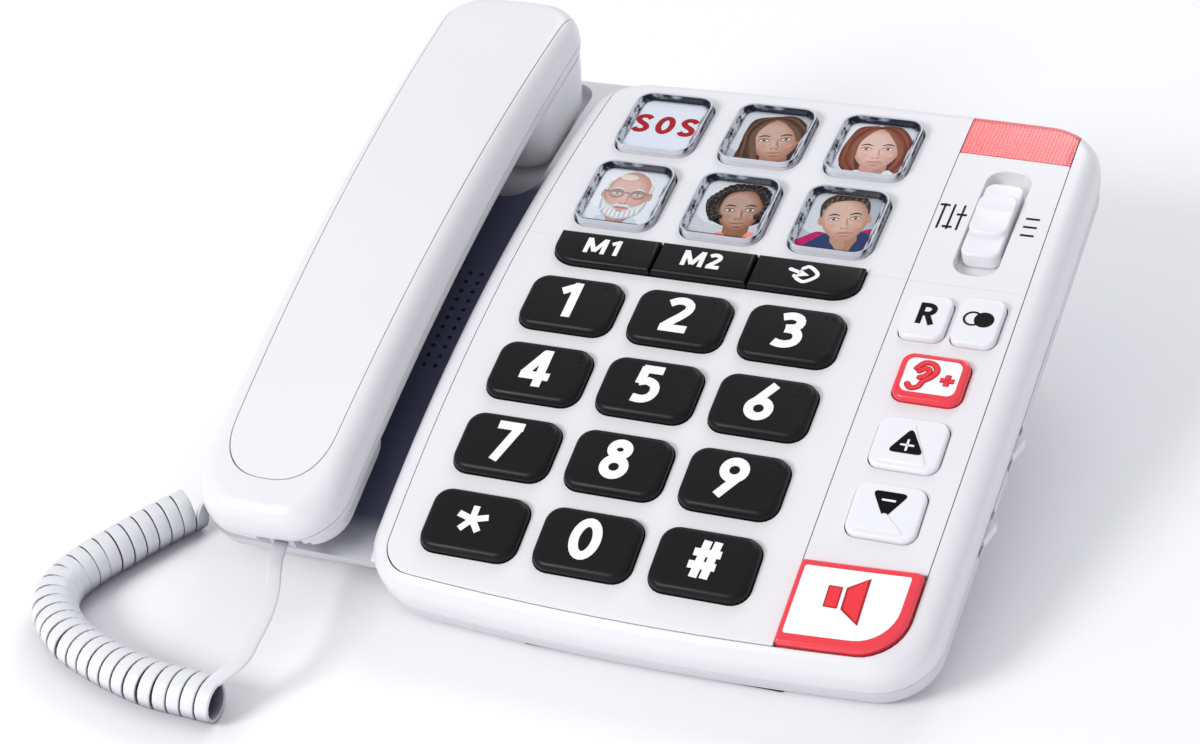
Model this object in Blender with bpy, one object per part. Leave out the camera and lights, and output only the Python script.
"""Corded desk telephone with big keys, six picture keys, a handset and a curly cord.

Every length below is in millimetres and every angle in degrees; deck() and world() turn them into metres.
The top of the console is a shallow arc, so its parts are drawn in deck coordinates:
x to the right, t along the arc towards the back from the middle of the keypad, h out of the arc.
"""

import math

import bmesh
import bpy
from mathutils import Matrix, Vector

MM = 0.001

# ---- Driving dimensions ---------------------------------------------------------------------
KEYPAD_X = 8.1          # middle of the keypad, from the middle of the whole telephone
KEYPAD_Y = -45.2
KEYPAD_Z = 38.0         # height of the deck at the middle of the keypad
DECK_SLOPE = 18.0       # rise towards the back at the middle of the keypad
DECK_RADIUS = 658.0     # radius of the arc that the deck follows
GAP = 0.3               # gap between neighbouring parts

# console block, in deck coordinates
CONSOLE_LEFT, CONSOLE_RIGHT = -60.0, 94.0
CONSOLE_FRONT, CONSOLE_BACK = -57.6, 138.0
CONSOLE_CORNERS = (15.0, 15.0, 16.0, 16.0)
SIDE_BOW, FRONT_BOW, BACK_BOW = 2.4, 3.8, 2.0
SHOULDER = 6.2          # radius of the rounded upper edge
PARTING = -11.0         # height where the two covers meet
UNDERSIDE = -19.0
SHELL = 2.2             # wall thickness of the covers
FOOT_CLEARANCE = 0.8    # lowest point of the covers above the table

# cradle wing on the left
WING_LEFT, WING_INNER = -114.0, -54.0
WING_FRONT, WING_BACK = -47.0, 148.0
WING_CORNERS = (9.0, 1.0, 1.0, 9.0)
CRADLE_FLOOR = -10.0
WING_PARTING = -12.4
WELL_FLOOR = -15.8
WELL_BOX = (-111.4, -66.6, 87.0, 145.4)

# control panels let into the deck
PANEL = 2.0             # panel thickness
PANEL_LEFT, PANEL_DIVIDE, PANEL_RIGHT = -53.5, 55.3, 86.8
PANEL_FRONT = -53.0
LAMP_FRONT = 117.2
SPEAKER_KEY_BACK = -29.2
SPEAKER_KEY_CORNER = 11.0
LEDGE, LEDGE_BACK = 3.0, 129.0   # the rim that a panel rests on
WRAP_END = 150.0        # beyond the back wall, so that a panel wraps over the back edge
WRAP_HEIGHT = -7.0
HOLLOW_BACK = 132.5

# keys
PITCH = 32.0            # across the keypad
ROW = 25.0              # along the keypad
KEY_SIZE = (27.2, 19.0)
KEY_CLEARANCE = 0.35
KEY_TRAVEL = 1.2
KEY_FOOT = -6.4         # underside of every key at rest
DIGIT_NAMES = (
    ("key_1", "key_2", "key_3"),
    ("key_4", "key_5", "key_6"),
    ("key_7", "key_8", "key_9"),
    ("key_star", "key_0", "key_hash"),
)
PICTURE_SIZE = (24.4, 26.8)
PICTURE_ROWS = (115.0, 82.2)
MEMORY_CENTRE, MEMORY_HEIGHT = 58.8, 11.8
MEMORY_SPLITS = (-44.8, -14.4, 13.9, 44.8)
# name, middle x, middle t, width, length, corner radius
FUNCTION_KEYS = (
    ("key_recall", 65.6, 50.3, 12.4, 15.6, 3.0),
    ("key_redial", 79.7, 50.9, 12.2, 16.8, 3.0),
    ("key_boost", 72.9, 29.4, 18.6, 15.6, 3.4),
    ("key_volume_up", 72.9, 7.8, 18.6, 16.4, 3.4),
    ("key_volume_down", 72.9, -13.6, 18.6, 16.4, 3.4),
)
SLIDER_X, SLIDER_T = 72.9, 90.5
SLIDER_POCKET = (12.4, 43.4)
SLIDER_KNOB = (10.8, 30.0)
SLIDER_BLOCK = (-6.8, 8.8)      # front and back of the raised middle of the knob

# slide switches in the right-hand wall
SIDE_SWITCHES = (("ringer_volume_switch", 22.0), ("ringer_tone_switch", -6.0))

# loudspeaker and hook switch under the cradle
SPEAKER_X, SPEAKER_T, SPEAKER_DIAMETER = -86.5, 36.0, 50.0
HOOK_T = 81.0

# handset, in its own coordinates: x across, u from the mouth end, v out of its parting plane
HANDSET_X = -89.0
HANDSET_START = -53.0   # mouth end, in deck t
HANDSET_LENGTH = 200.0
HANDSET_LIFT_FRONT, HANDSET_LIFT_BACK = 3.0, 11.0
HANDSET_HALF = (21.5, 22.6)
HANDSET_TOP = 9.0
INLAY_HALF = (14.4, 19.0)
INLAY_START = 12.4
INLAY_ROUND = 17.0      # length of its rounded end
GRIP_BOTTOM = -8.0
EAR_CENTRE, MOUTH_CENTRE = 176.0, 24.0

# stand that holds the back of the console up
STAND_LEFT, STAND_RIGHT = -90.0, 50.0
STAND_FRONT, STAND_BACK = 8.0, 124.0
STAND_WALL = 2.4
STAND_FOOT_WALL = 4.0
FOOT_HEIGHT = 0.9

# cords
COIL_DIAMETER = 12.6
LEAD_DIAMETER = 3.9


# ---- Coordinates ----------------------------------------------------------------------------
def deck_angle(t):
    return math.radians(DECK_SLOPE) - t / DECK_RADIUS


def world(x, y, z):
    """A point from keypad-centred millimetres to the telephone's own frame in metres."""
    return Vector(((x + KEYPAD_X) * MM, (y + KEYPAD_Y) * MM, z * MM))


def deck(x, t, h):
    """A point given on the arc of the deck."""
    start, here = deck_angle(0.0), deck_angle(t)
    y = DECK_RADIUS * (math.sin(start) - math.sin(here)) - h * math.sin(here)
    z = KEYPAD_Z + DECK_RADIUS * (math.cos(here) - math.cos(start)) + h * math.cos(here)
    return world(x, y, z)


def handset(x, u, v):
    """A point of the handset, which lies along the deck and rises slightly from it."""
    lift = HANDSET_LIFT_FRONT + (HANDSET_LIFT_BACK - HANDSET_LIFT_FRONT) * u / HANDSET_LENGTH
    return deck(HANDSET_X + x, HANDSET_START + u, lift + v)


def deck_frame(x, t, h=0.0):
    """A rigid frame on the deck: its axes are right, towards the back and out of the deck."""
    angle = deck_angle(t)
    frame = Matrix.Rotation(angle, 4, "X")
    frame.translation = deck(x, t, h)
    return frame


def bow(x, t):
    """Moves a point of the console's plan so that its four sides bulge slightly."""
    middle_x, half_x = (CONSOLE_LEFT + CONSOLE_RIGHT) / 2, (CONSOLE_RIGHT - CONSOLE_LEFT) / 2
    middle_t, half_t = (CONSOLE_FRONT + CONSOLE_BACK) / 2, (CONSOLE_BACK - CONSOLE_FRONT) / 2
    across = max(-1.0, min(1.0, (x - middle_x) / half_x))
    along = max(-1.0, min(1.0, (t - middle_t) / half_t))
    end_bow = BACK_BOW * max(0.0, along) + FRONT_BOW * min(0.0, along)
    return x + SIDE_BOW * across * (1 - along**2), t + end_bow * (1 - across**2)


# ---- Outlines -------------------------------------------------------------------------------
def rounded(x0, x1, t0, t1, radii, inset=0.0, corner_points=4):
    """An anticlockwise rectangle with its own radius at each corner, from front left round."""
    x0, x1, t0, t1 = x0 + inset, x1 - inset, t0 + inset, t1 - inset
    corners = ((x0, t0, 1, 1, 180), (x1, t0, -1, 1, 270), (x1, t1, -1, -1, 0), (x0, t1, 1, -1, 90))
    points = []
    for (x, t, sx, st, first), radius in zip(corners, radii):
        radius = max(0.4, radius - inset)
        for step in range(corner_points + 1):
            angle = math.radians(first + 90 * step / corner_points)
            centre_x, centre_t = x + sx * radius, t + st * radius
            points.append((centre_x + radius * math.cos(angle), centre_t + radius * math.sin(angle)))
    return points


def split_sides(points, longest=25.0):
    """Adds points along the straight sides, so that a bowed outline stays smooth."""
    result = []
    for here, there in zip(points, points[1:] + points[:1]):
        pieces = max(1, math.ceil(math.dist(here, there) / longest))
        for step in range(pieces):
            share = step / pieces
            result.append((here[0] + (there[0] - here[0]) * share, here[1] + (there[1] - here[1]) * share))
    return result


def console_outline(inset=0.0):
    box = (CONSOLE_LEFT, CONSOLE_RIGHT, CONSOLE_FRONT, CONSOLE_BACK)
    outer = rounded(*box, CONSOLE_CORNERS)
    # the same number of points at every inset, each moved straight inwards
    inner = match_sides(outer, rounded(*box, CONSOLE_CORNERS, inset), split_sides(outer))
    return [bow(x, t) for x, t in inner]


def hollow_outline(inset):
    """The hollow of the top cover, with a thicker wall behind, where the panels wrap over the edge."""
    return [(x, min(t, HOLLOW_BACK)) for x, t in console_outline(inset)]


def match_sides(outer, inner, split):
    """Splits inner's sides where split_sides() split outer's."""
    result = []
    index = 0
    for here, there, low, high in zip(outer, outer[1:] + outer[:1], inner, inner[1:] + inner[:1]):
        pieces = 0
        while index + pieces < len(split) and (
            pieces == 0 or math.dist(split[index + pieces], there) > 1e-6
        ):
            pieces += 1
        for step in range(pieces):
            share = step / pieces
            result.append((low[0] + (high[0] - low[0]) * share, low[1] + (high[1] - low[1]) * share))
        index += pieces
    return result


def wing_outline(inset=0.0):
    box = (WING_LEFT, WING_INNER, WING_FRONT, WING_BACK)
    return rounded(*box, WING_CORNERS, inset)


def shoulder_levels(low, radius, steps=4):
    """(height, inset) up a straight wall and round a quarter circle that ends at height 0."""
    levels = [(low, 0.0)]
    for step in range(steps + 1):
        angle = math.pi / 2 * step / steps
        levels.append((-radius + radius * math.sin(angle), radius * (1 - math.cos(angle))))
    return levels


# ---- Solids ---------------------------------------------------------------------------------
def tube_mesh(rings):
    """A closed solid through rings of equally many points, the first at the bottom."""
    mesh = bmesh.new()
    rows = [[mesh.verts.new(point) for point in ring] for ring in rings]
    count = len(rows[0])
    for low, high in zip(rows, rows[1:]):
        for i in range(count):
            j = (i + 1) % count
            mesh.faces.new((low[i], low[j], high[j], high[i]))
    mesh.faces.new(list(reversed(rows[0])))
    mesh.faces.new(rows[-1])
    return mesh


def bend(mesh, place, strip=25.0):
    """Cuts a flat-drawn mesh into strips along t, then moves each point onto the arc."""
    ends = [vertex.co.y for vertex in mesh.verts]
    cut = math.ceil((min(ends) + 0.5) / strip) * strip
    while cut < max(ends) - 0.5:
        geometry = list(mesh.verts) + list(mesh.edges) + list(mesh.faces)
        bmesh.ops.bisect_plane(mesh, geom=geometry, dist=1e-4, plane_co=(0, cut, 0), plane_no=(0, 1, 0))
        cut += strip
    for vertex in mesh.verts:
        vertex.co = place(*vertex.co)
    return mesh


def add_object(name, mesh, material=None, frame=None):
    """Makes the named object, with its origin at the frame if one is given."""
    bmesh.ops.triangulate(mesh, faces=list(mesh.faces))
    bmesh.ops.recalc_face_normals(mesh, faces=list(mesh.faces))
    data = bpy.data.meshes.new(name)
    mesh.to_mesh(data)
    mesh.free()
    thing = bpy.data.objects.new(name, data)
    bpy.context.scene.collection.objects.link(thing)
    if frame is not None:
        data.transform(frame.inverted())
        thing.matrix_world = frame
    if material is not None:
        data.materials.append(material)
    data.shade_smooth()
    data.set_sharp_from_angle(angle=math.radians(35))
    return thing


def helper(thing):
    """Marks an object as a cutter or guide that is not part of the telephone."""
    thing.hide_render = True
    thing.display_type = "WIRE"
    return thing


def slab(name, outline, levels, material=None, place=deck, frame=None):
    """A solid from outline(inset) at each (height, inset), bent onto the arc."""
    rings = [[(x, t, h) for x, t in outline(inset)] for h, inset in levels]
    return add_object(name, bend(tube_mesh(rings), place), material, frame)


def many(name, outlines, low, high, place=deck):
    """One cutter made of separate straight prisms."""
    whole = bmesh.new()
    for outline in outlines:
        part = tube_mesh([[(x, t, h) for x, t in outline] for h in (low, high)])
        data = bpy.data.meshes.new(name)
        bend(part, place)
        bmesh.ops.recalc_face_normals(part, faces=list(part.faces))
        part.to_mesh(data)
        part.free()
        whole.from_mesh(data)
        bpy.data.meshes.remove(data)
    return helper(add_object(name, whole))


def box_prism(name, x0, x1, y0, y1, z0, z1, place=world):
    """An axis-aligned block in keypad-centred coordinates."""
    corners = ((x0, y0), (x1, y0), (x1, y1), (x0, y1))
    rings = [[place(x, y, z) for x, y in corners] for z in (z0, z1)]
    return add_object(name, tube_mesh(rings))


def boolean(thing, other, operation):
    """Combines two closed bodies. Bent faces nearly coincide, which only this solver keeps clean."""
    modifier = thing.modifiers.new(f"{operation.lower()} {other.name}", "BOOLEAN")
    modifier.operation = operation
    modifier.object = other
    modifier.solver = "MANIFOLD"
    helper(other)


def turned(name, profile, frame, material, sides=20):
    """A solid of revolution about the frame's third axis, from (radius, height) pairs."""
    rings = []
    turns = [2 * math.pi * step / sides for step in range(sides)]
    for radius, height in profile:
        ring = [(radius * math.cos(a), radius * math.sin(a), height) for a in turns]
        rings.append([frame @ (Vector(point) * MM) for point in ring])
    return add_object(name, tube_mesh(rings), material, frame)


# ---- Materials ------------------------------------------------------------------------------
def plastic(name, colour, roughness, transmission=0.0, metallic=0.0):
    material = bpy.data.materials.new(name)
    material.use_nodes = True
    shader = material.node_tree.nodes["Principled BSDF"]
    shader.inputs["Base Color"].default_value = (*colour, 1.0)
    shader.inputs["Roughness"].default_value = roughness
    shader.inputs["Transmission Weight"].default_value = transmission
    shader.inputs["Metallic"].default_value = metallic
    return material


def make_materials():
    return {
        "white": plastic("white_plastic", (0.86, 0.86, 0.88), 0.32),
        "panel": plastic("panel_plastic", (0.88, 0.88, 0.9), 0.36),
        "black": plastic("black_keys", (0.012, 0.012, 0.013), 0.42),
        "red": plastic("red_plastic", (0.85, 0.05, 0.07), 0.25),
        "lamp": plastic("lamp_plastic", (0.9, 0.16, 0.17), 0.2, 0.35),
        "clear": plastic("clear_plastic", (0.95, 0.96, 0.98), 0.04, 0.9),
        "rubber": plastic("dark_rubber", (0.03, 0.03, 0.032), 0.8),
        "silicone": plastic("key_silicone", (0.35, 0.36, 0.38), 0.6),
        "board": plastic("circuit_board", (0.02, 0.16, 0.06), 0.45),
        "steel": plastic("speaker_steel", (0.5, 0.5, 0.52), 0.35, 0.0, 1.0),
        "dark": plastic("dark_plastic", (0.03, 0.03, 0.035), 0.5),
        "cord": plastic("cord_jacket", (0.8, 0.8, 0.82), 0.45),
    }


# ---- Console covers -------------------------------------------------------------------------
def panel_prism(name, left, right, front, back, radii, gap, low, high=6.0):
    """A prism of a control panel's plan, bowed with the console, for cutting and intersecting."""
    box = (left - gap, right + gap, front - gap, back + gap)

    def outline(inset):
        sides = split_sides(rounded(*box, radii, inset, 3), 16.0)
        return [bow(x, t) for x, t in sides]

    return slab(name, outline, ((low, 0.0), (high, 0.0)))


def keypad_prism(name, gap, low):
    radii = (8.0, 0.8, 0.8, 0.8)
    box = (PANEL_LEFT, PANEL_DIVIDE - GAP / 2, PANEL_FRONT, WRAP_END)
    return panel_prism(name, *box, radii, gap, low)


def function_prism(name, gap, low, front, back, radii=(0.8, 0.8, 0.8, 0.8)):
    box = (PANEL_DIVIDE + GAP / 2, PANEL_RIGHT, front, back)
    return panel_prism(name, *box, radii, gap, low)


def console_form(name, inset, low, material=None):
    """The console's outer form, moved inwards all round by inset."""
    levels = [(h - inset, i + inset) for h, i in shoulder_levels(low + inset, SHOULDER)]
    return slab(name, console_outline, levels, material)


def recess_cutter(name, prism, depth):
    """A prism less everything deeper than depth below the outer form."""
    inner = console_form(f"{name}_floor", depth, PARTING - 8)
    boolean(prism, inner, "DIFFERENCE")
    return prism


def base_top_cover(materials):
    cover = console_form("base_top_cover", 0.0, PARTING, materials["white"])
    edge = ((CRADLE_FLOOR - 1.2, 0.0), (CRADLE_FLOOR - 0.3, 0.4), (CRADLE_FLOOR, 1.3))
    wing_levels = ((WING_PARTING, 0.0),) + edge
    boolean(cover, slab("wing_block", wing_outline, wing_levels), "UNION")
    well_levels = ((WELL_FLOOR - 1.4, 0.0), (CRADLE_FLOOR - 0.5, 0.0))
    boolean(cover, slab("well_block", ear_well_outline(-1.2), well_levels), "UNION")
    well = ((WELL_FLOOR, 0.8), (CRADLE_FLOOR + 3, 0.0))
    boolean(cover, slab("ear_well", ear_well_outline(0.0), well), "DIFFERENCE")
    # hollow under the console, open below
    hollow = ((PARTING - 1, SHELL), (-6.5, SHELL), (-4.4, 4.4))
    boolean(cover, slab("console_hollow", hollow_outline, hollow), "DIFFERENCE")
    for name, prism, ledge in console_recesses():
        boolean(cover, recess_cutter(name, prism, PANEL + GAP), "DIFFERENCE")
        boolean(cover, ledge, "DIFFERENCE")
    boolean(cover, many("floor_holes", (hook_outline(0.4),), PARTING - 2, CRADLE_FLOOR + 1), "DIFFERENCE")
    boolean(cover, jack_cutter("line_jack_hole_top", *LINE_JACK), "DIFFERENCE")
    boolean(cover, jack_cutter("cord_jack_hole_top", *CORD_JACK), "DIFFERENCE")
    return cover


def console_recesses():
    """Each recess in the top cover: its name, its prism and the opening inside its ledge."""
    low, through = WRAP_HEIGHT - GAP, -9.0
    keypad = keypad_prism("keypad_recess", GAP, low)
    front = PANEL_FRONT + LEDGE
    opening = bowed_box(PANEL_LEFT + LEDGE, PANEL_DIVIDE - LEDGE, front, LEDGE_BACK, 6.0)
    yield "keypad_recess", keypad, many("keypad_opening", (opening,), through, 3.0)
    radii = (0.8, SPEAKER_KEY_CORNER, 0.8, 0.8)
    function = function_prism("function_recess", GAP, low, PANEL_FRONT, WRAP_END, radii)
    opening = bowed_box(PANEL_DIVIDE + 2.0, PANEL_RIGHT - 2.0, front, LEDGE_BACK, 2.0)
    yield "function_recess", function, many("function_opening", (opening,), through, 3.0)


def bowed_box(x0, x1, t0, t1, radius):
    return [bow(x, t) for x, t in split_sides(rounded(x0, x1, t0, t1, (radius,) * 4, 0.0, 3), 16.0)]


def ear_well_outline(grow):
    return lambda inset: rounded(*WELL_BOX, (10.0, 10.0, 8.0, 8.0), inset + grow, 4)


def base_bottom_cover(materials):
    """The tray: a floor with low walls, flattened where it meets the table along its front edge."""
    top = PARTING - GAP
    levels = ((UNDERSIDE, 2.4), (UNDERSIDE + 1.2, 1.0), (top, 0.2))
    cover = slab("base_bottom_cover", console_outline, levels, materials["white"])
    wing_levels = ((UNDERSIDE, 2.4), (UNDERSIDE + 1.2, 1.0), (WING_PARTING - GAP, 0.2))
    boolean(cover, slab("wing_tray", wing_outline, wing_levels), "UNION")
    boolean(cover, table_block("below_tray", FOOT_CLEARANCE), "DIFFERENCE")
    floor = UNDERSIDE + 1.4
    hollows = (
        ("console_tray_hollow", console_outline, ((floor, SHELL + 1.0), (top + 1, SHELL + 0.2))),
        ("wing_tray_hollow", wing_outline, ((floor, 1.4), (top + 1, 1.1))),
    )
    for name, outline, hollow in hollows:
        space = slab(name, outline, hollow)
        boolean(space, table_block(f"below_{name}", FOOT_CLEARANCE + 1.4), "DIFFERENCE")
        boolean(cover, space, "DIFFERENCE")
    notch = ((WING_PARTING - GAP, -GAP), (CRADLE_FLOOR, -GAP))
    boolean(cover, slab("wing_notch", wing_outline, notch), "DIFFERENCE")
    for name, t in SIDE_SWITCHES:
        window = box_on_deck(f"{name}_window", 88.0, 100.0, t - 7.5, t + 7.5, top - 3.4, top + 1)
        boolean(cover, window, "DIFFERENCE")
    boolean(cover, jack_cutter("line_jack_hole", *LINE_JACK), "DIFFERENCE")
    boolean(cover, jack_cutter("cord_jack_hole", *CORD_JACK), "DIFFERENCE")
    return cover


def table_block(name, top):
    """Everything lower than top, for flattening an underside."""
    return box_prism(name, -150.0, 130.0, -110.0, 180.0, -60.0, top)


def box_on_deck(name, x0, x1, t0, t1, h0, h1, material=None, place=deck, frame=None):
    corners = ((x0, t0), (x1, t0), (x1, t1), (x0, t1))
    return slab(name, lambda inset: corners, ((h0, 0.0), (h1, 0.0)), material, place, frame)


# middle x, middle t, half widths in x, t and h, middle h
LINE_JACK = (0.0, 134.0, 6.2, 8.0, 4.6, -13.9)
CORD_JACK = (-107.0, -31.0, 6.6, 5.4, 2.9, -14.4)


def jack_cutter(name, x, t, half_x, half_t, half_h, h, grow=GAP):
    reach = 2.0
    left = x - half_x - (reach if half_x > half_t else grow)
    back = t + half_t + (reach if half_t > half_x else grow)
    height = (h - half_h - grow, h + half_h + grow)
    return box_on_deck(name, left, x + half_x + grow, t - half_t - grow, back, *height)


# ---- Control panels -------------------------------------------------------------------------
def keypad_panel(materials):
    panel = keypad_prism("keypad_panel", 0.0, WRAP_HEIGHT)
    panel.data.materials.append(materials["panel"])
    panel_shell(panel, "keypad_panel_form")
    openings = [key_outline(x, t, *KEY_SIZE, 4.8, KEY_CLEARANCE) for _, x, t in digit_places()]
    openings += [key_outline(x, t, *PICTURE_SIZE, 5.0, KEY_CLEARANCE) for _, x, t in picture_places()]
    ends = (MEMORY_SPLITS[0] - KEY_CLEARANCE, MEMORY_SPLITS[-1] + KEY_CLEARANCE)
    openings.append(memory_outline(*ends, KEY_CLEARANCE))
    boolean(panel, many("keypad_openings", openings, -6.0, 2.0), "DIFFERENCE")
    return panel


def panel_shell(panel, name):
    """Cuts a panel's prism to a skin of the console's outer form."""
    boolean(panel, console_form(name, 0.0, PARTING), "INTERSECT")
    boolean(panel, console_form(f"{name}_inner", PANEL, PARTING - 4), "DIFFERENCE")


def function_panel(materials):
    panel = function_prism("function_panel", 0.0, WRAP_HEIGHT, SPEAKER_KEY_BACK + GAP, LAMP_FRONT)
    panel.data.materials.append(materials["panel"])
    panel_shell(panel, "function_panel_form")
    pocket = key_outline(SLIDER_X, SLIDER_T, *SLIDER_POCKET, 5.0, 0.0)
    tray = key_outline(SLIDER_X, SLIDER_T, *SLIDER_POCKET, 6.0, 1.2)
    boolean(panel, slab("slider_tray", lambda inset: tray, ((-5.0, 0.0), (-1.0, 0.0))), "UNION")
    boolean(panel, slab("slider_pocket", lambda inset: pocket, ((-3.8, 0.0), (2.0, 0.0))), "DIFFERENCE")
    openings = [key_outline(x, t, w, l, r, KEY_CLEARANCE) for _, x, t, w, l, r in FUNCTION_KEYS]
    openings.append(key_outline(SLIDER_X, SLIDER_T, 3.4, 20.0, 1.6, 0.0))
    boolean(panel, many("function_openings", openings, -6.0, 2.0), "DIFFERENCE")
    return panel


def ring_lamp(materials):
    lens = function_prism("ring_lamp_lens", 0.0, WRAP_HEIGHT, LAMP_FRONT + GAP, WRAP_END)
    lens.data.materials.append(materials["lamp"])
    panel_shell(lens, "ring_lamp_form")
    return lens


# ---- Keys -----------------------------------------------------------------------------------
def digit_places():
    for row, names in enumerate(DIGIT_NAMES):
        for column, name in enumerate(names):
            yield name, (column - 1) * PITCH, (1.5 - row) * ROW


def picture_places():
    number = 1
    for t in PICTURE_ROWS:
        for column in (-1, 0, 1):
            yield f"picture_key_{number}", column * PITCH - 0.4, t
            number += 1


def key_outline(x, t, width, length, radius, grow=0.0):
    box = (x - width / 2, x + width / 2, t - length / 2, t + length / 2)
    return rounded(*box, (radius,) * 4, -grow, 3)


def rigid_slab(name, outline, levels, frame, material):
    """A solid drawn flat about the frame's origin, with no bend: outline(inset) in millimetres."""
    rings = [[frame @ Vector((x * MM, y * MM, h * MM)) for x, y in outline(inset)] for h, inset in levels]
    return add_object(name, tube_mesh(rings), material, frame)


KEY_LEVELS = ((KEY_FOOT, -1.1), (-5.0, -1.1), (-5.0, 0.0), (1.2, 0.0), (2.2, 0.8), (2.6, 1.9))


def big_key(name, x, t, size, radius, material, levels=KEY_LEVELS):
    half_x, half_y = size[0] / 2, size[1] / 2

    def outline(inset):
        return rounded(-half_x, half_x, -half_y, half_y, (radius,) * 4, inset, 3)

    return rigid_slab(name, outline, levels, deck_frame(x, t), material)


def digit_keys(materials):
    for name, x, t in digit_places():
        big_key(name, x, t, KEY_SIZE, 4.8, materials["black"])


def memory_outline(left, right, grow=0.0):
    """The long bar of memory keys, cut off between left and right: square behind, rounded in front."""
    half = MEMORY_HEIGHT / 2 + grow
    round_left = left <= MEMORY_SPLITS[0]
    round_right = right >= MEMORY_SPLITS[-1]
    points = [(left, half), (left, 0.0 if round_left else -half)]
    if round_left:
        points += memory_corner(left, half, 1)
    if round_right:
        points += list(reversed(memory_corner(right, half, -1)))
    points += [(right, 0.0 if round_right else -half), (right, half)]
    return [(x, MEMORY_CENTRE + y) for x, y in points]


def memory_corner(end, half, side, reach=8.0, steps=4):
    """A quarter ellipse from the end of the bar to its front edge."""
    points = []
    for step in range(1, steps + 1):
        angle = math.pi / 2 * step / steps
        points.append((end + side * reach * (1 - math.cos(angle)), -half * math.sin(angle)))
    return points


def memory_keys(materials):
    names = ("key_m1", "key_m2", "key_store")
    for name, left, right in zip(names, MEMORY_SPLITS, MEMORY_SPLITS[1:]):
        inner_left = left + (0.0 if name == names[0] else 0.35)
        inner_right = right - (0.0 if name == names[-1] else 0.35)
        middle = (left + right) / 2
        frame = deck_frame(middle, MEMORY_CENTRE)

        def outline(inset, inner_left=inner_left, inner_right=inner_right, middle=middle):
            points = memory_outline(inner_left, inner_right)
            return shrink([(x - middle, t - MEMORY_CENTRE) for x, t in points], inset)

        levels = ((KEY_FOOT, 0.0), (1.2, 0.0), (2.0, 0.6), (2.3, 1.5))
        rigid_slab(name, outline, levels, frame, materials["black"])


def shrink(points, inset):
    """Draws an outline in towards its middle by inset on every side."""
    half_x = max(abs(x) for x, _ in points)
    half_y = max(abs(y) for _, y in points)
    return [(x * (1 - inset / half_x), y * (1 - inset / half_y)) for x, y in points]


def function_keys(materials):
    levels = ((KEY_FOOT, -0.7), (-5.0, -0.7), (-5.0, 0.0), (1.0, 0.0), (1.7, 0.6), (1.9, 1.6))
    for name, x, t, width, length, radius in FUNCTION_KEYS:
        colour = "red" if name == "key_boost" else "white"
        big_key(name, x, t, (width, length), radius, materials[colour], levels)
    speaker_key(materials)


def speaker_key(materials):
    """The wide key that fills the front of the function column, on a narrower stem."""
    box = (PANEL_DIVIDE + GAP / 2 + 0.2, PANEL_RIGHT - 0.2, PANEL_FRONT + 0.2, SPEAKER_KEY_BACK)
    frame = deck_frame(71.0, -41.0)

    def outline(inset):
        return [bow(x, t) for x, t in rounded(*box, (0.9, SPEAKER_KEY_CORNER, 1.5, 0.9), inset, 4)]

    levels = ((KEY_FOOT, 3.8), (-0.9, 3.8), (-0.9, 0.0), (1.2, 0.0), (1.8, 0.5), (2.0, 1.2))
    slab("key_speaker", outline, levels, materials["red"], deck, frame)


def picture_keys(materials):
    """Six keys, each a white body that holds a card under its own clear cover."""
    for name, x, t in picture_places():
        body_levels = ((KEY_FOOT, -1.0), (-5.0, -1.0), (-5.0, 0.4), (0.2, 0.4))
        big_key(f"{name}_body", x, t, PICTURE_SIZE, 5.0, materials["white"], body_levels)
        cover_levels = ((0.5, 0.0), (1.6, 0.0), (2.8, 1.1), (3.0, 1.7))
        big_key(f"{name}_cover", x, t, PICTURE_SIZE, 5.0, materials["clear"], cover_levels)


# ---- Slide switches -------------------------------------------------------------------------
def tone_slider(materials):
    """The stepped knob: a long low plate with a raised block in its middle and a stem below."""
    frame = deck_frame(SLIDER_X, SLIDER_T)
    width, length = SLIDER_KNOB

    def plan(t0, t1, half, radius):
        return lambda inset: rounded(-half, half, t0, t1, (radius,) * 4, inset, 3)

    low = ((-3.4, 0.0), (0.3, 0.0), (0.9, 0.7))
    plate = plan(-length / 2, length / 2, width / 2, 2.8)
    knob = rigid_slab("tone_slider", plate, low, frame, materials["white"])
    high = ((-1.0, 0.0), (1.6, 0.0), (2.4, 0.9))
    block = rigid_slab("tone_slider_block", plan(*SLIDER_BLOCK, width / 2, 2.8), high, frame, None)
    stem = rigid_slab("tone_slider_stem", plan(-2.5, 2.5, 1.3, 0.6), ((-7.0, 0.0), (-2.0, 0.0)), frame, None)
    boolean(knob, block, "UNION")
    boolean(knob, stem, "UNION")
    return knob


def side_switches(materials):
    """Two wedge-shaped knobs that slide in windows along the parting line."""
    top = PARTING - GAP - 0.35
    for name, t in SIDE_SWITCHES:
        wall, _ = bow(CONSOLE_RIGHT, t)
        frame = deck_frame(wall, t, top - 1.3)
        inner, face, peak = wall - 7.0, wall - 0.2, wall + 1.5
        wedge = ((face, t - 3.6), (peak, t + 1.6), (peak, t + 2.6), (face, t + 3.6))
        plan = ((inner, t - 3.6),) + wedge + ((inner, t + 3.6),)
        levels = ((top - 2.6, 0.0), (top, 0.0))
        slab(name, lambda inset, plan=plan: plan, levels, materials["white"], deck, frame)


# ---- Inside the console ---------------------------------------------------------------------
def inner_parts(materials):
    corners = ((-48.0, -44.0), (84.0, -44.0), (84.0, 120.0), (-48.0, 120.0))
    slab("circuit_board", lambda inset: corners, ((0.0, 0.0), (1.6, 0.0)), materials["board"], flat_board)
    key_mat(materials)
    frame = deck_frame(SPEAKER_X, SPEAKER_T)
    profile = ((11.0, -17.2), (11.0, -15.6), (22.8, -14.8), (25.0, -14.2), (25.0, -13.4))
    turned("loudspeaker", profile, frame, materials["steel"])
    hook_plunger(materials)
    line_jack(materials)
    cord_jack(materials)


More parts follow.
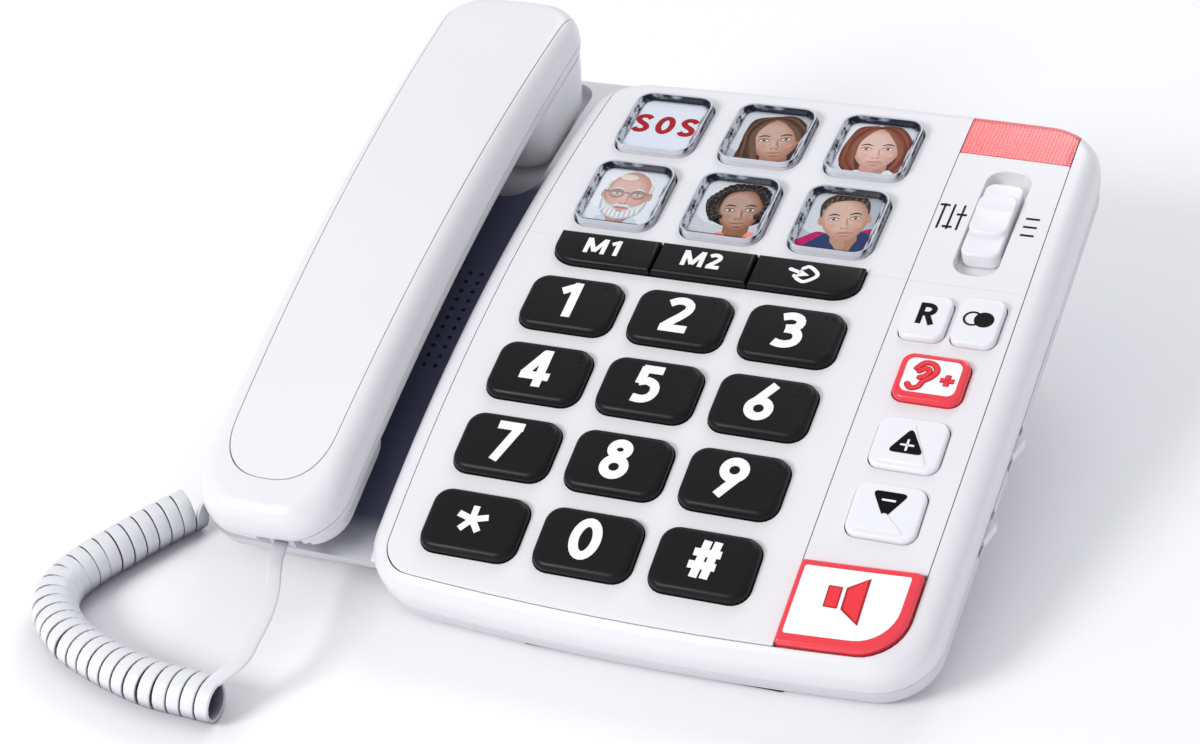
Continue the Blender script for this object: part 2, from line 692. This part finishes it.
def flat_board(x, t, h):
    """A flat plane under the arc: the chord between two depths below the deck."""
    low, high = deck(x, -44.0, -10.6), deck(x, 120.0, -10.6)
    share = (t + 44.0) / 164.0
    normal = Vector((0.0, low.z - high.z, high.y - low.y)).normalized()
    return low.lerp(high, share) + normal * h * MM


def key_mat(materials):
    """Silicone sheet: its top follows the arc under the keys, its underside lies on the board."""
    corners = rounded(-46.0, 82.0, -42.0, 118.0, (3.0,) * 4, 0.0, 2)
    mesh = tube_mesh([[(x, t, h) for x, t in corners] for h in (0.0, 1.0)])

    def place(x, t, h):
        return deck(x, t, -8.2) if h > 0.5 else flat_board(x, t, 1.6 + GAP)

    return add_object("key_mat", bend(mesh, place, 20.0), materials["silicone"])


def hook_outline(grow):
    return key_outline(HANDSET_X, HOOK_T, 9.0, 6.0, 1.5, grow)


def hook_plunger(materials):
    frame = deck_frame(HANDSET_X, HOOK_T)

    def outline(inset):
        return rounded(-4.5, 4.5, -3.0, 3.0, (1.5,) * 4, inset, 3)

    levels = ((-15.0, 0.0), (-0.9, 0.0), (0.0, 0.9))
    rigid_slab("hook_plunger", outline, levels, frame, materials["white"])


def line_jack(materials):
    """Socket for the line cord, in the back wall."""
    x, t, half_x, half_t, half_h, h = LINE_JACK
    box = (x - half_x, x + half_x, t - half_t, t + 5.6, h - half_h, h + half_h)
    jack = box_on_deck("line_jack", *box, materials["dark"])
    mouth = box_on_deck("line_jack_mouth", x - 3.4, x + 3.4, t - 5.0, t + 9.0, h - 3.0, h + 2.6)
    boolean(jack, mouth, "DIFFERENCE")
    return jack


def cord_jack(materials):
    """Socket for the handset cord, in the left wall of the cradle."""
    x, t, half_x, half_t, half_h, h = CORD_JACK
    box = (x - half_x, x + half_x, t - half_t, t + half_t, h - half_h, h + half_h)
    jack = box_on_deck("cord_jack", *box, materials["dark"])
    mouth = box_on_deck("cord_jack_mouth", x - 9.0, x + 3.5, t - 3.9, t + 3.9, h - 2.2, h + 2.2)
    boolean(jack, mouth, "DIFFERENCE")
    return jack


# ---- Stand and feet -------------------------------------------------------------------------
def desk_stand(materials):
    """Wedge under the back of the tray, hollow and open below, with a thick rear wall for its foot."""
    stand = stand_form("desk_stand", STAND_BACK, 0.0, GAP, FOOT_HEIGHT)
    stand.data.materials.append(materials["white"])
    hollow = stand_form("stand_hollow", STAND_BACK - STAND_FOOT_WALL, STAND_WALL, GAP + STAND_WALL, -2.0)
    boolean(stand, hollow, "DIFFERENCE")


def stand_form(name, back, inset, top_gap, bottom):
    """An upright block that ends top_gap under the tray."""
    corners = rounded(STAND_LEFT, STAND_RIGHT, STAND_FRONT, back, (8.0,) * 4, inset, 3)
    mesh = tube_mesh([[(x, t, h) for x, t in corners] for h in (0.0, 1.0)])

    def place(x, t, h):
        top = deck(x, t, UNDERSIDE - top_gap)
        return top if h > 0.5 else Vector((top.x, top.y, bottom * MM))

    return add_object(name, bend(mesh, place))


def rubber_feet(materials):
    """One strip under the front edge of the tray and one under the back edge of the stand."""
    front = ("foot_front", (-16.0, 56.0, -48.2, -45.4), 0.5)
    rear = ("foot_rear", (-76.0, 36.0, 118.2, 122.2), 0.6)
    for name, box, height in (front, rear):
        outline = rounded(*box, (1.2,) * 4, 0.0, 3)
        rings = [[world(x, y, z) for x, y in outline] for z in (0.0, height)]
        add_object(name, tube_mesh(rings), materials["rubber"])


# ---- Handset --------------------------------------------------------------------------------
def handset_outline(inset=0.0, corner=(13.0, 13.0, 11.0, 11.0)):
    """Plan at the parting plane: slightly wider at the ear end, with both ends bowed."""
    widest, middle = HANDSET_HALF[1], HANDSET_LENGTH / 2
    points = split_sides(rounded(-widest, widest, 2.0, HANDSET_LENGTH - 1.5, corner), 16.0)
    result = []
    for x, u in points:
        half = HANDSET_HALF[0] + (HANDSET_HALF[1] - HANDSET_HALF[0]) * u / HANDSET_LENGTH
        end = (1 - (x / widest) ** 2) * (-2.0 if u < middle else 1.5) * end_weight(u)
        result.append((x * (half - inset) / widest, middle + (u + end - middle) * (1 - inset / middle)))
    return result


def end_weight(u):
    """1 at either end of the handset and 0 well away from it."""
    distance = min(u, HANDSET_LENGTH - u)
    return max(0.0, 1 - distance / 30.0)


def handset_form(name, inset, low, top, material=None):
    """The outer shell's form: a straight lip, then an elliptical shoulder up to a flat crown."""
    levels = [(low, inset)]
    steps = 5
    for step in range(steps + 1):
        angle = math.pi / 2 * step / steps
        levels.append((1.0 + (top - 1.0) * math.sin(angle), inset + 6.0 * (1 - math.cos(angle))))
    return slab(name, handset_outline, levels, material, handset)


def handset_outer_shell(materials):
    shell = handset_form("handset_outer_shell", 0.0, GAP / 2, HANDSET_TOP, materials["white"])
    boolean(shell, handset_form("outer_shell_hollow", 2.2, -2.0, HANDSET_TOP - 3.2), "DIFFERENCE")
    recess = inlay_prism("inlay_recess", GAP)
    boolean(recess, handset_form("inlay_recess_floor", 1.5, -6.0, HANDSET_TOP - 1.5), "DIFFERENCE")
    boolean(shell, recess, "DIFFERENCE")
    return shell


def inlay_prism(name, gap):
    """Plan of the inlay: rounded at the mouth, widening towards the ear, running over the end."""
    start, steps = INLAY_START - gap, 7
    left, right = [], []
    for step in range(1, steps + 1):
        angle = math.pi / 2 * step / steps
        u = start + INLAY_ROUND * (1 - math.cos(angle) ** 0.8)
        half = (inlay_half(u) + gap) * math.sin(angle) ** 0.8
        left.append((-half, u))
        right.append((half, u))
    for u in (50.0, 90.0, 130.0, 170.0, HANDSET_LENGTH + 12):
        left.append((-inlay_half(u) - gap, u))
        right.append((inlay_half(u) + gap, u))
    points = list(reversed(left)) + [(0.0, start)] + right
    return slab(name, lambda inset: points, ((2.8 - gap, 0.0), (16.0, 0.0)), None, handset)


def inlay_half(u):
    """Half the inlay's width at a distance along the handset."""
    return INLAY_HALF[0] + (INLAY_HALF[1] - INLAY_HALF[0]) * u / HANDSET_LENGTH


def handset_inlay(materials):
    inlay = inlay_prism("handset_inlay", 0.0)
    inlay.data.materials.append(materials["panel"])
    boolean(inlay, handset_form("inlay_form", 0.0, -2.0, HANDSET_TOP), "INTERSECT")
    boolean(inlay, handset_form("inlay_form_inner", 1.2, -4.0, HANDSET_TOP - 1.2), "DIFFERENCE")
    return inlay


def end_outline(u0, u1, half, radius):
    """Plan of a lump under one end of the handset."""
    return lambda inset: rounded(-half, half, u0, u1, (radius,) * 4, inset, 4)


def handset_inner_shell(materials):
    """Grip, ear cup and mouth boss, hollow and open towards the outer shell."""
    grip = ((GRIP_BOTTOM, 7.0), (GRIP_BOTTOM + 1.2, 4.0), (-4.4, 1.0), (-2.6, 0.3), (-GAP / 2, 0.0))
    shell = slab("handset_inner_shell", handset_outline, grip, materials["white"], handset)
    cup = slab("ear_cup", ear_cup_outline, EAR_CUP_LEVELS, None, handset)
    boss_levels = ((-9.4, 2.4), (-7.6, 0.8), (-3.0, 0.0))
    boss = slab("mouth_boss", end_outline(3.0, 46.0, 20.6, 12.0), boss_levels, None, handset)
    pad = slab("mouth_pad", end_outline(8.0, 40.0, 15.5, 11.0), ((-12.4, 1.0), (-6.0, 0.0)), None, handset)
    for lump in (cup, boss, pad):
        boolean(shell, lump, "UNION")
    hollow = ((GRIP_BOTTOM + 2.6, 6.0), (-3.0, 2.4), (2.0, 2.2))
    boolean(shell, slab("grip_hollow", handset_outline, hollow, None, handset), "DIFFERENCE")
    cup_hollow = ((-22.4, 2.2), (-20.0, 1.2), (-9.0, 0.4), (-2.0, 0.4))
    boolean(shell, slab("ear_cup_hollow", ear_hollow_outline, cup_hollow, None, handset), "DIFFERENCE")
    hollow = ((-10.6, 0.0), (-3.0, 0.0))
    pad_hollow = slab("mouth_hollow", end_outline(10.5, 37.5, 13.0, 9.0), hollow, None, handset)
    boolean(shell, pad_hollow, "DIFFERENCE")
    boolean(shell, handset_jack_cutter(), "DIFFERENCE")
    boolean(shell, handset_notch_cutter(), "DIFFERENCE")
    return shell


EAR_CUP_LEVELS = ((-24.6, 4.4), (-23.2, 2.4), (-20.0, 1.2), (-9.0, 0.4), (-4.0, 0.2))


def ear_cup_outline(inset, wall=0.0):
    """Plan of the ear cup, whose ends lean in the deeper it is."""
    front, back = 152.0 + 2.2 * inset, HANDSET_LENGTH - 2.0 - 1.3 * inset
    return rounded(-22.2, 22.2, front, back, (9.0, 9.0, 11.0, 11.0), inset + wall, 4)


def ear_hollow_outline(inset):
    return ear_cup_outline(inset, 2.2)


# across, height and depth of the handset's socket, and the notch round it in the mouth end
HANDSET_JACK = (5.6, -3.1, 10.4)
HANDSET_NOTCH = (7.2, 6.4)
PLUG_START = 1.2


def handset_jack_cutter():
    x, v, depth = HANDSET_JACK
    corners = ((x - 4.6, -4.0), (x + 4.6, -4.0), (x + 4.6, depth), (x - 4.6, depth))
    return slab("handset_jack_hole", lambda inset: corners, ((v - 2.6, 0.0), (v + 2.6, 0.0)), None, handset)


def handset_notch_cutter():
    """The notch that the cord hangs out of, open below."""
    x, v, _ = HANDSET_JACK
    half, depth = HANDSET_NOTCH
    corners = ((x - half, -4.0), (x + half, -4.0), (x + half - 1.2, depth), (x - half + 1.2, depth))
    return slab("handset_notch", lambda inset: corners, ((-14.0, 0.0), (v + 2.5, 0.0)), None, handset)


def capsules(materials):
    """Sound parts inside the handset."""
    ear = Matrix.Rotation(deck_angle(HANDSET_START + EAR_CENTRE), 4, "X")
    ear.translation = handset(0.0, EAR_CENTRE, 0.0)
    profile = ((13.6, -21.8), (13.6, -17.0), (9.0, -15.0), (9.0, -13.5))
    turned("receiver_capsule", profile, ear, materials["dark"], 20)
    mouth = Matrix.Rotation(deck_angle(HANDSET_START + MOUTH_CENTRE), 4, "X")
    mouth.translation = handset(0.0, MOUTH_CENTRE, 0.0)
    turned("microphone_capsule", ((4.8, -10.2), (4.8, -4.6)), mouth, materials["dark"], 16)


# ---- Cords ----------------------------------------------------------------------------------
# Routes in the telephone's own frame, in millimetres.
COIL_ROUTE = (
    (-69.1, -142.4, 6.5), (-79.7, -142.0, 6.5), (-90.7, -141.3, 6.5), (-102.5, -138.5, 6.5),
    (-112.4, -135.2, 6.5), (-121.8, -130.9, 6.5), (-131.5, -122.3, 6.5), (-135.2, -112.7, 6.5),
    (-133.3, -102.7, 6.5), (-129.4, -93.4, 6.5), (-125.4, -84.8, 6.5), (-121.1, -76.6, 6.5),
    (-116.9, -69.8, 6.5),
)
HANDSET_LEAD_ROUTE = (
    (-75.3, -94.0, 19.9), (-75.3, -96.7, 18.7), (-75.0, -98.6, 17.9), (-73.0, -101.8, 17.0),
    (-69.9, -109.2, 16.1), (-68.2, -117.8, 15.5), (-67.5, -126.8, 14.8), (-67.1, -134.1, 13.8),
    (-66.8, -139.2, 12.9),
)
BASE_LEAD_ROUTE = (
    (-109.2, -69.4, 14.3), (-110.6, -69.3, 14.1), (-112.0, -68.8, 12.6), (-112.7, -69.0, 10.4),
    (-113.2, -70.4, 9.4),
)


def smooth_route(points, spacing):
    """Points about spacing apart on a Catmull-Rom curve through the route."""
    ends = [Vector(point) for point in points]
    ends = [2 * ends[0] - ends[1]] + ends + [2 * ends[-1] - ends[-2]]
    result = []
    for before, here, there, after in zip(ends, ends[1:], ends[2:], ends[3:]):
        steps = max(1, round((there - here).length / spacing))
        for step in range(steps):
            s = step / steps
            result.append(
                0.5 * (2 * here + (there - before) * s + (2 * before - 5 * here + 4 * there - after) * s**2
                       + (3 * here - before - 3 * there + after) * s**3)
            )
    result.append(ends[-2])
    return result


def cord_tube(name, route, diameter, spacing, resolution, material):
    """A round tube along the route, with closed ends."""
    points = smooth_route(route, spacing)
    curve = bpy.data.curves.new(name, "CURVE")
    curve.dimensions = "3D"
    curve.bevel_depth = diameter / 2 * MM
    curve.bevel_resolution = resolution
    curve.use_fill_caps = True
    spline = curve.splines.new("POLY")
    spline.points.add(len(points) - 1)
    for knot, point in zip(spline.points, points):
        knot.co = (*(point * MM), 1.0)
    curve.materials.append(material)
    thing = bpy.data.objects.new(name, curve)
    bpy.context.scene.collection.objects.link(thing)
    return thing


def cords(materials):
    cord_tube("cord_coil", COIL_ROUTE, COIL_DIAMETER, 6.0, 3, materials["cord"])
    cord_tube("handset_lead", HANDSET_LEAD_ROUTE, LEAD_DIAMETER, 5.0, 2, materials["cord"])
    cord_tube("base_lead", BASE_LEAD_ROUTE, LEAD_DIAMETER, 3.0, 2, materials["cord"])
    x, v, depth = HANDSET_JACK
    back = depth - 0.6
    corners = ((x - 3.8, PLUG_START), (x + 3.8, PLUG_START), (x + 3.8, back), (x - 3.8, back))
    slab("handset_plug", lambda inset: corners, ((v - 2.0, 0.0), (v + 2.0, 0.0)), materials["clear"], handset)
    _, t, _, _, _, h = CORD_JACK
    box_on_deck("base_plug", -116.8, -104.6, t - 3.6, t + 3.6, h - 1.8, h + 1.8, materials["clear"])


# ---- Assembly -------------------------------------------------------------------------------
def main():
    for thing in list(bpy.data.objects):
        bpy.data.objects.remove(thing, do_unlink=True)
    materials = make_materials()
    base_bottom_cover(materials)
    base_top_cover(materials)
    keypad_panel(materials)
    function_panel(materials)
    ring_lamp(materials)
    digit_keys(materials)
    memory_keys(materials)
    function_keys(materials)
    picture_keys(materials)
    tone_slider(materials)
    side_switches(materials)
    inner_parts(materials)
    desk_stand(materials)
    rubber_feet(materials)
    handset_outer_shell(materials)
    handset_inlay(materials)
    handset_inner_shell(materials)
    capsules(materials)
    cords(materials)


main()
